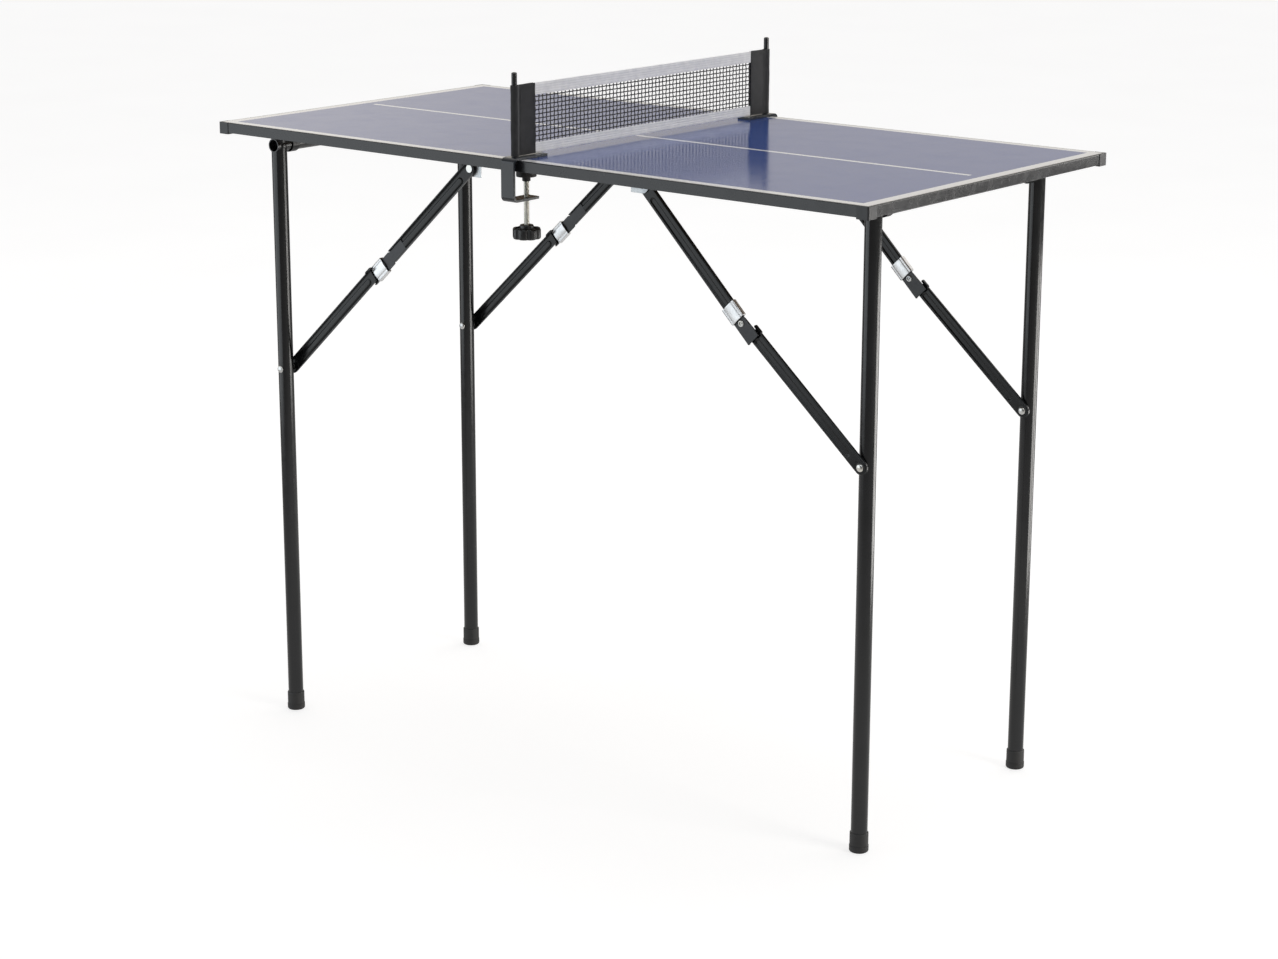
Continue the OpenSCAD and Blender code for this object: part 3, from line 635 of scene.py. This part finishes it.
def islands(node):
    """Centre, lowest and highest z of each separate solid in a CAD node."""
    shape = bmesh.new()
    shape.from_mesh(NODES[node].data)
    bmesh.ops.remove_doubles(shape, verts=shape.verts, dist=1e-6)
    left, found = set(shape.verts), []
    while left:
        stack, group = [min(left, key=lambda v: v.index)], []
        left.discard(stack[0])
        while stack:
            v = stack.pop()
            group.append(v.co.copy())
            for edge in v.link_edges:
                o = edge.other_vert(v)
                if o in left:
                    left.discard(o)
                    stack.append(o)
        low = Vector([min(c[i] for c in group) for i in range(3)])
        high = Vector([max(c[i] for c in group) for i in range(3)])
        found.append(((low + high) / 2, low, high))
    shape.free()
    return sorted(found, key=lambda item: tuple(item[0]))


shape = Shape()
pan_rise = 2.0
for mid, low, high in islands("underside_screws"):
    under = low.z + pan_rise * MM
    cross_recess(shape, [(mid.x, mid.y, (high.z - under) / MM)], under, 3.5, pan_rise)
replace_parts(shape.make("underside_screws_pressed", "screw_zinc", "table_top", 60), "underside_screws")


# ---------------------------------------------------------------- lock sleeves

def sleeve_section(shoulder_rib):
    """Outline of the extruded sleeve, in y and z: crowned faces, grooves beside ribbed shoulders."""
    half, low, high, corner = 10.0, 14.6, 21.2, 1.5
    points = []

    def face(sign, z, inward):
        ys = [-8.4, -7.6, -6.9, -6.55, -6.3, -6.05, -5.7] + [0.95 * k for k in range(-5, 6)]
        ys += [5.7, 6.05, 6.3, 6.55, 6.9, 7.6, 8.4]
        for y in ys if sign > 0 else reversed(ys):
            a = abs(y)
            if a > 6.5:
                drop = 0.45 - shoulder_rib * (1 if 6.8 < a < 8.0 else 0)
            elif a > 5.9:
                drop = 0.85
            else:
                drop = 0.60 * (a / 5.7) ** 2
            points.append((y, z + inward * drop))

    def turn(cy, cz, start):
        for k in range(1, 5):
            a = start + k * math.pi / 10
            points.append((cy + corner * math.cos(a), cz + corner * math.sin(a)))

    face(1, low, 1)
    turn(half - corner, low + corner + 0.1, -math.pi / 2)
    turn(half - corner, high - corner - 0.1, 0)
    face(-1, high, -1)
    turn(corner - half, high - corner - 0.1, math.pi / 2)
    turn(corner - half, low + corner + 0.1, math.pi)
    return points


def bore_section():
    """Outline of the sleeve's bore, with as many points as the outside."""
    half, low, high, corner = 8.9, 15.7, 20.1, 1.4
    points = []
    ys = [-7.4 + 14.8 * k / 24 for k in range(25)]

    def turn(cy, cz, start):
        return [(cy + corner * math.cos(start + k * math.pi / 10),
                 cz + corner * math.sin(start + k * math.pi / 10)) for k in range(1, 5)]

    points += [(y, low) for y in ys]
    points += turn(half - corner, low + corner, -math.pi / 2)
    points += turn(half - corner, high - corner, 0)
    points += [(y, high) for y in reversed(ys)]
    points += turn(corner - half, high - corner, math.pi / 2)
    points += turn(corner - half, low + corner, math.pi)
    return points


def lock_sleeve(leg):
    node = leg + "_lock_sleeve"
    place = brace_place(leg)
    middle = (place.inverted() @ centre(node)).x / MM
    half = 10.0
    rib_pitch, rib_rise = 0.8, 0.16
    ridge = int(2 * (half - 1) / rib_pitch)
    rings = []
    plain, core = sleeve_section(0.0), (0.0, 17.9)

    def ring(section, x, shrink=0.0):
        out = []
        for y, z in section:
            d = Vector((core[0] - y, core[1] - z)).normalized() * shrink
            out.append((middle + x, y + d.x, z + d.y))
        return out

    rings.append(ring(plain, -half, 0.3))
    rings.append(ring(plain, -half + 0.1, 0.1))
    rings.append(ring(plain, -half + 0.3))
    for k in range(ridge + 1):
        x = -half + 1 + k * rib_pitch
        for step, lift in ((0.0, 0.0), (0.2, rib_rise), (0.5, rib_rise), (0.7, 0.0)):
            if x + step < half - 0.4:
                rings.append(ring(sleeve_section(lift), x + step))
    rings.append(ring(plain, half - 0.3))
    rings.append(ring(plain, half - 0.1, 0.1))
    rings.append(ring(plain, half, 0.3))
    bore = bore_section()
    rings.append(ring(bore, half, 0.1))
    rings.append(ring(bore, half - 0.4))
    rings.append(ring(bore, 0.4 - half))
    rings.append(ring(bore, -half, 0.1))
    shape = Shape(place).rings(rings, loop=True)
    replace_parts(shape.make(node + "_extruded", "sleeve_aluminium", body_of[node], 35), node)


for leg in LEGS:
    lock_sleeve(leg)


# ---------------------------------------------------------------- clamp screws and knobs

def clamp_screw(side):
    node = side + "_clamp_screw"
    low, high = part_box(node)
    mid = (low + high) / 2
    shape = Shape(Matrix.Translation(Vector((mid.x, mid.y, low.z))))
    length, pitch, depth, radius = (high.z - low.z) / MM, 1.0, 0.28, 3.0
    around, per_turn = 24, 8
    count = int(length / pitch * per_turn)
    rings = []
    for i in range(count + 1):
        z = i * pitch / per_turn
        fade = min(1.0, z / 2, (length - z) / 2)
        ring = []
        for k in range(around):
            phase = (z / pitch - k / around) % 1.0
            root = abs(2 * phase - 1)
            r = radius - depth * min(1.0, 1.4 * root) - 0.35 * (1 - fade)
            ring.append((r * math.cos(TAU * k / around), r * math.sin(TAU * k / around), z))
        rings.append(ring)
    piece = shape.rings(rings).make(node + "_threaded", "screw_zinc", body_of[node], 75)
    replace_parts(piece, node)


def knob(side):
    node = side + "_knob"
    low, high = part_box(node)
    mid = (low + high) / 2
    shape = Shape(Matrix.Translation(Vector((mid.x, mid.y, low.z))))
    lobes, around, valley_deep = 8, 160, 1.7
    profile = (  # radius, height, share of the scallop
        (5.0, 0.9, 0), (8.0, 0.75, 0.2), (11.0, 0.5, 0.7), (13.0, 0.3, 1), (14.2, 0.35, 1), (14.9, 0.8, 1),
        (15.3, 1.5, 1), (15.5, 2.6, 1), (15.5, 6.0, 1), (15.5, 9.8, 1), (15.4, 10.7, 1), (15.0, 11.4, 1),
        (14.5, 11.8, 1), (14.0, 11.9, 1), (13.5, 11.7, 1), (13.2, 11.2, 1), (13.1, 10.4, 1), (12.9, 8.9, 1),
        (12.4, 8.5, 0.9), (10.5, 8.4, 0.5), (8.9, 8.5, 0.1), (8.1, 8.9, 0), (7.7, 9.6, 0), (7.5, 10.8, 0),
        (7.45, 14.4, 0), (7.25, 15.0, 0), (6.8, 15.4, 0), (6.1, 15.5, 0), (3.7, 15.5, 0), (3.3, 15.3, 0),
        (3.15, 14.9, 0), (3.1, 3.6, 0))
    rings = []
    for r, z, share in profile:
        ring = []
        for k in range(around):
            a = TAU * k / around
            valley = ((1 + math.cos(lobes * a)) / 2) ** 3
            rr = r - share * valley_deep * valley
            ring.append((rr * math.cos(a), rr * math.sin(a), z))
        rings.append(ring)
    shape.rings(rings)
    for i in range(lobes):
        a = TAU * (i + 0.5) / lobes
        out, wide = Vector((math.cos(a), math.sin(a), 0)), Vector((-math.sin(a), math.cos(a), 0))
        rib = []
        for at, tall in ((7.0, 11.4), (8.6, 11.2), (13.4, 10.9)):
            rib.append([out * at + wide * s * w + Vector((0, 0, z))
                        for s, w, z in ((-1, 0.65, 8.0), (1, 0.65, 8.0), (1, 0.55, tall - 0.25),
                                        (1, 0.3, tall), (-1, 0.3, tall), (-1, 0.55, tall - 0.25))])
        shape.rings(rib)
    piece = shape.make(node + "_moulded", "knob_plastic", body_of[node], 50)
    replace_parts(piece, node)


for side in SIDES:
    clamp_screw(side)
    knob(side)


# ---------------------------------------------------------------- the net

net_low, net_high = (z / MM for z in (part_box("net_mesh")[0].z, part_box("net_mesh")[1].z))
net_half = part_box("net_mesh")[1].y / MM
tape_low, tape_high = (z / MM for z in (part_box("net_tapes")[0].z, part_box("net_tapes")[1].z))


def wobble(*phases):
    """A smooth, repeatable unevenness between about -1 and 1."""
    a, b = phases[0], phases[1] if len(phases) > 1 else 0.0
    return (0.5 * math.sin(a + 1.3 * math.sin(0.37 * b)) + 0.3 * math.sin(2.3 * a + b)
            + 0.2 * math.sin(5.1 * a - 1.7 * b))


ROWS, COLUMNS = 11, 62
row_radius, column_radius, interlace = 0.66, 0.58, 0.36
tuck = 3.0
row_pitch = (net_high - net_low) / (ROWS + 0.4)
column_pitch = 2 * net_half / (COLUMNS - 0.5)


def net_rows_and_columns():
    shape = Shape()
    per_hole = 6
    row_z = [net_low + (r + 0.7) * row_pitch for r in range(ROWS)]
    column_y = [-net_half + (c + 0.25) * column_pitch for c in range(COLUMNS)]
    reach = net_half + tuck
    for r, z in enumerate(row_z):
        path, count = [], int(2 * reach / column_pitch * per_hole)
        for i in range(count + 1):
            y = -reach + 2 * reach * i / count
            turn = math.pi * (y - column_y[0]) / column_pitch + math.pi * r
            dip = 0.16 * math.cos(TAU * (y - column_y[0]) / column_pitch) + 0.12 * wobble(y / 21, r)
            path.append(Vector((interlace * math.cos(turn), y, z + dip)))
        shape.rod(path, row_radius, 8, Vector((0, 0, 1)))
    for c, y in enumerate(column_y):
        path, count = [], int((ROWS + 1.4) * per_hole)
        for i in range(count + 1):
            z = net_low - tuck / 2 + (net_high - net_low + tuck) * i / count
            turn = math.pi * (z - row_z[0]) / row_pitch + math.pi * c
            sway = 0.22 * wobble(z / 14, c * 1.9)
            path.append(Vector((-interlace * math.cos(turn), y + sway, z)))
        shape.rod(path, column_radius, 8, Vector((1, 0, 0)))
    return shape.make("net_mesh_knotted", "net_cord", "net", 60)


def stitches(shape, spots, along, out, length=2.0, thick=0.22):
    """Short raised threads at the spots, each along one direction on a face that looks outward."""
    for p in spots:
        path = [p + along * (length * (t - 0.5)) + out * (0.20 * math.sin(math.pi * t) - 0.06)
                for t in (0, 0.2, 0.5, 0.8, 1)]
        shape.rod(path, (thick, thick * 0.8), 6, out)


def folded_strip(name, slot, outline, across_of, steps):
    """Cloth with two faces: an outline in a plane, carried along by across_of(share of the way, point)."""
    rings = [[across_of(i / steps, p) for p in outline] for i in range(steps + 1)]
    return Shape().rings(rings).make(name, slot, "net", 60)


def doubled(path, thick):
    """Both faces of a strip of cloth whose middle line is the path, as one closed outline."""
    left, right = [], []
    for i, p in enumerate(path):
        ahead = (path[min(i + 1, len(path) - 1)] - path[max(i - 1, 0)]).normalized()
        side = Vector((-ahead.y, ahead.x)) * thick / 2
        left.append(p + side)
        right.append(p - side)
    return left + right[::-1]


def tape(name, low, high, open_up):
    """A strip folded lengthwise over the edge of the mesh, open towards the mesh."""
    half, thick, round_r = 0.82, 0.5, 0.82
    straight = [high - low - round_r - t for t in (0.0, 0.6, 1.4, 3.0, 5.0, 7.0, 9.0) if t < high - low - 2]
    side = [Vector((half + 0.05 * math.sin(0.9 * s), s)) for s in (0, 0.5, 1.2, *sorted(straight))]
    bend = [Vector((round_r * math.cos(a), high - low - round_r - thick / 2 + round_r * math.sin(a)))
            for a in (math.pi * k / 8 for k in range(1, 8))]
    path = side + bend + [Vector((-p.x, p.y)) for p in reversed(side)]
    outline = doubled(path, thick)
    reach = net_half + 1.2

    def across(share, p):
        y = -reach + 2 * reach * share
        flutter = 0.16 * wobble(y / 33, low) * (1 - p.y / (high - low))
        edge = 0.10 * wobble(y / 9, low + 2) * max(0.0, 1 - p.y / 2.0)
        z = high - p.y if open_up else low + p.y
        return Vector((p.x + flutter * 0.6, y, z + (edge if not open_up else -edge)))

    piece = folded_strip(name, "net_tape", outline, across, 190)
    shape = Shape()
    pitch = 3.0
    rows = (1.5, high - low - 2.6)
    for face in (-1, 1):
        for row in rows:
            z = high - row if open_up else low + row
            spots = [Vector((face * (half + thick / 2 + 0.02), y * pitch + 0.4 * face, z))
                     for y in range(-int(reach / pitch) + 1, int(reach / pitch))]
            stitches(shape, spots, Vector((0, 1, 0)), Vector((face, 0, 0)))
    seam = shape.make(name + "_seam", "net_tape", "net", 60, "stitching")
    return piece


def net_pocket(side):
    """The black band at an end of the net: one strip that goes round the post and back to the mesh."""
    node = side + "_net_sleeve"
    low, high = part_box(node)
    sign = -1 if side == "near" else 1
    post_y = abs(centre(side + "_post").y) / MM
    inner_y = min(abs(low.y), abs(high.y)) / MM
    pocket_r, thick, lip = 3.85, 0.62, 1.3
    bottom, top = low.z / MM + 0.2, high.z / MM - 0.1
    path = []
    neck = post_y - 5.6
    for k in range(13):
        path.append(Vector((lip, inner_y + (neck - inner_y) * k / 12)))
    start = math.asin(min(1.0, lip / pocket_r)) + 0.42
    for k in range(17):
        a = -math.pi / 2 + start + (math.pi - start) * k / 16
        path.append(Vector((pocket_r * math.cos(a), post_y + pocket_r * math.sin(a))))
    path += [Vector((-p.x, p.y)) for p in reversed(path[:-1])]
    outline = doubled(path, thick)
    tall = top - bottom

    def across(share, p):
        z = bottom + tall * share
        out = Vector((p.x, p.y - post_y if p.y > neck else 0.0)).normalized()
        hem = 0.22 * max(0.0, 1 - abs(min(share, 1 - share) * tall - 2.2) / 2.6)
        crease = 0.20 * wobble(z / 8.5, p.y / 4 + (3 if p.x > 0 else 0)) * min(1.0, (p.y - inner_y) / 8)
        q = Vector((p.x, p.y)) + out * (hem * 0.5 + crease)
        droop = 0.25 * wobble(p.y / 6, 1.0) * (1 if share in (0.0, 1.0) else 0)
        return Vector((q.x, sign * q.y, z + droop))

    piece = folded_strip(node + "_sewn", "net_pocket", outline, across, 44)
    shape = Shape()
    outside = lip + thick / 2 + 0.08
    for face in (-1, 1):
        for y in (inner_y + 2.2, neck - 2.0):
            spots = [Vector((face * outside, sign * y, bottom + 1.5 + 2.7 * k))
                     for k in range(int((tall - 2) / 2.7))]
            stitches(shape, spots, Vector((0, 0, 1)), Vector((face, 0, 0)), 1.9, 0.2)
        for z in (bottom + 4.0, top - 4.0):
            spots = [Vector((face * outside, sign * (inner_y + 4.0 + 2.7 * k), z))
                     for k in range(int((neck - inner_y - 6) / 2.7))]
            stitches(shape, spots, Vector((0, 1, 0)), Vector((face, 0, 0)), 1.9, 0.2)
    seam = shape.make(node + "_seam", "net_pocket", "net", 60)
    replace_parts(piece, node)


knots = net_rows_and_columns()
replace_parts(knots, "net_mesh")
top_tape = tape("net_top_tape", net_high - 1.0, tape_high, False)
tape("net_low_tape", tape_low, net_low + 1.0, True)
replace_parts(top_tape, "net_tapes")
for side in SIDES:
    net_pocket(side)


# ---------------------------------------------------------------- stage, light, camera

floor_mesh = bpy.data.meshes.new("studio_floor")
reach = 30.0
floor_mesh.from_pydata([(-reach, -reach, 0), (reach, -reach, 0), (reach, reach, 0), (-reach, reach, 0)], [],
                       [(0, 1, 2, 3)])
floor = bpy.data.objects.new("studio_floor", floor_mesh)
bpy.context.scene.collection.objects.link(floor)
paper = Look("studio_paper").set(Roughness=0.9, Specular_IOR_Level=0.0, Emission_Color=(1.0, 1.0, 1.0, 1))
paper.colour(paper.ramp(paper.noise(3, 3), (0.43, 0.43, 0.43), (0.45, 0.45, 0.45)))
rays = paper.new("ShaderNodeLightPath").outputs
from_middle = paper.new("ShaderNodeVectorMath", operation="LENGTH")
paper.link(paper.place, from_middle.inputs[0])
# Painted light: in reflections only, the floor glows as a pool round the table. The glow is 0.5 within 0.6 m of
# the middle and fades to nothing at 1.7 m.
painted_glow_pool = paper.ramp(from_middle.outputs["Value"], 0.5, 0.0, (0.6, 1.7))
paper.link(paper.math("ADD", paper.math("MULTIPLY", rays["Is Camera Ray"], 0.72),
                      paper.math("MULTIPLY", rays["Is Glossy Ray"], painted_glow_pool)),
           paper.shader.inputs["Emission Strength"])
floor_mesh.materials.append(paper.material)

world = bpy.data.worlds.new("studio")
bpy.context.scene.world = world
world.use_nodes = True
tree = world.node_tree
back = tree.nodes["Background"]


def world_node(kind, **settings):
    made = tree.nodes.new(kind)
    for name, value in settings.items():
        setattr(made, name, value)
    return made


direction = world_node("ShaderNodeTexCoord").outputs["Generated"]


def glow(toward, inner, outer, colour):
    """Light from round a direction: full inside the inner angle, none outside the outer one."""
    facing = world_node("ShaderNodeVectorMath", operation="DOT_PRODUCT")
    tree.links.new(direction, facing.inputs[0])
    facing.inputs[1].default_value = Vector(toward).normalized()
    span = world_node("ShaderNodeMapRange", interpolation_type="SMOOTHSTEP")
    span.inputs["From Min"].default_value = math.cos(math.radians(outer))
    span.inputs["From Max"].default_value = math.cos(math.radians(inner))
    tree.links.new(facing.outputs["Value"], span.inputs["Value"])
    tint = world_node("ShaderNodeVectorMath", operation="SCALE")
    tint.inputs[0].default_value = colour
    tree.links.new(span.outputs["Result"], tint.inputs["Scale"])
    return tint.outputs[0]


def compass(azimuth, elevation):
    """A direction; azimuth 0 is +Y and 90 is -X, in degrees."""
    a, e = math.radians(azimuth), math.radians(elevation)
    return (-math.sin(a) * math.cos(e), math.cos(a) * math.cos(e), math.sin(e))


lights = [
    glow(compass(35, 12), 30, 75, (0.54, 0.50, 0.43)),
    glow(compass(64, 14), 14, 26, (0.26, 0.25, 0.23)),
    glow(compass(0, 90), 25, 70, (0.30, 0.30, 0.31)),
    glow(compass(-97, 6), 12, 26, (0.8, 0.77, 0.72)),
    glow(compass(125, 4), 12, 30, (0.22, 0.25, 0.30)),
    glow(compass(-17, 37), 12, 34, (0.55, 0.52, 0.50)),
]
total = world_node("ShaderNodeVectorMath", operation="ADD")
total.inputs[0].default_value = (0.13, 0.135, 0.145)
tree.links.new(lights[0], total.inputs[1])
for source in lights[1:]:
    more = world_node("ShaderNodeVectorMath", operation="ADD")
    tree.links.new(total.outputs[0], more.inputs[0])
    tree.links.new(source, more.inputs[1])
    total = more
backdrop = world_node("ShaderNodeVectorMath", operation="MAXIMUM")
tree.links.new(total.outputs[0], backdrop.inputs[0])
tree.links.new(world_node("ShaderNodeLightPath").outputs["Is Camera Ray"], backdrop.inputs[1])
tree.links.new(backdrop.outputs[0], back.inputs["Color"])
back.inputs["Strength"].default_value = 1.0


def softbox(name, at, aim, size, bright, colour, gloss_only=False):
    """A rectangular lamp as bright as `bright` white cards. A gloss-only one shows in reflections alone."""
    lamp = bpy.data.lights.new(name, "AREA")
    lamp.shape, lamp.size, lamp.size_y = "RECTANGLE", *size
    lamp.energy, lamp.color = 4 * size[0] * size[1] * bright, colour
    box = bpy.data.objects.new(name, lamp)
    bpy.context.scene.collection.objects.link(box)
    box.location = at
    box.rotation_euler = (Vector(aim) - Vector(at)).to_track_quat("-Z", "Y").to_euler()
    box.visible_camera = False
    box.visible_diffuse = not gloss_only
    return box


def standing_card(name, azimuth, distance, size, bright, colour, foot=0.005):
    """A gloss-only card that stands round the table and faces it, its lower edge at height `foot`."""
    x, y, _ = compass(azimuth, 0)
    middle = foot + size[1] / 2
    softbox(name, (x * distance, y * distance, middle), (0, 0, middle), size, bright, colour, True)


softbox("overhead", (-0.3, 0.5, 3.2), (0, 0, 0.6), (2.6, 2.6), 1.1, (1.0, 0.99, 0.97))
# This one lights the table but shows in no reflection, as the board would mirror it.
right_box = softbox("right_box", (3.4, 0.2, 1.5), (0, 0, 0.5), (1.2, 2.2), 3.9, (1.0, 0.97, 0.92))
right_box.visible_glossy = False
for part, azimuth, bright in (("a", -66, 5.5), ("b", -44, 4.5)):
    standing_card("right_card_" + part, azimuth, 1.15, (0.33, 0.45), bright, (1.0, 0.98, 0.95))
    standing_card("post_card_" + part, azimuth, 1.15, (0.33, 0.24), bright, (1.0, 0.98, 0.95), 0.64)
softbox("brow", (0.9, -1.5, 2.3), (0, 0, 0.6), (2.4, 0.7), 1.8, (0.92, 0.97, 1.0), True)
standing_card("left_card", 141, 1.75, (2.2, 1.5), 1.15, (0.90, 0.96, 1.0))

camera_data = bpy.data.cameras.new("camera")
camera = bpy.data.objects.new("camera", camera_data)
bpy.context.scene.collection.objects.link(camera)
bpy.context.scene.camera = camera
yaw, pitch, roll = (math.radians(a) for a in (39.20, 14.35, 0.12))
camera.matrix_world = (Matrix.Translation((1.919, -2.366, 1.157)) @ Matrix.Rotation(yaw, 4, "Z")
                       @ Matrix.Rotation(math.pi / 2 - pitch, 4, "X") @ Matrix.Rotation(roll, 4, "Z"))
camera_data.lens, camera_data.sensor_width, camera_data.shift_y = 76.75, 36, -0.04
camera_data.clip_start, camera_data.clip_end = 0.05, 200

view = bpy.context.scene.view_settings
view.view_transform, view.look, view.exposure, view.gamma = "Standard", "None", 0.0, 1.0
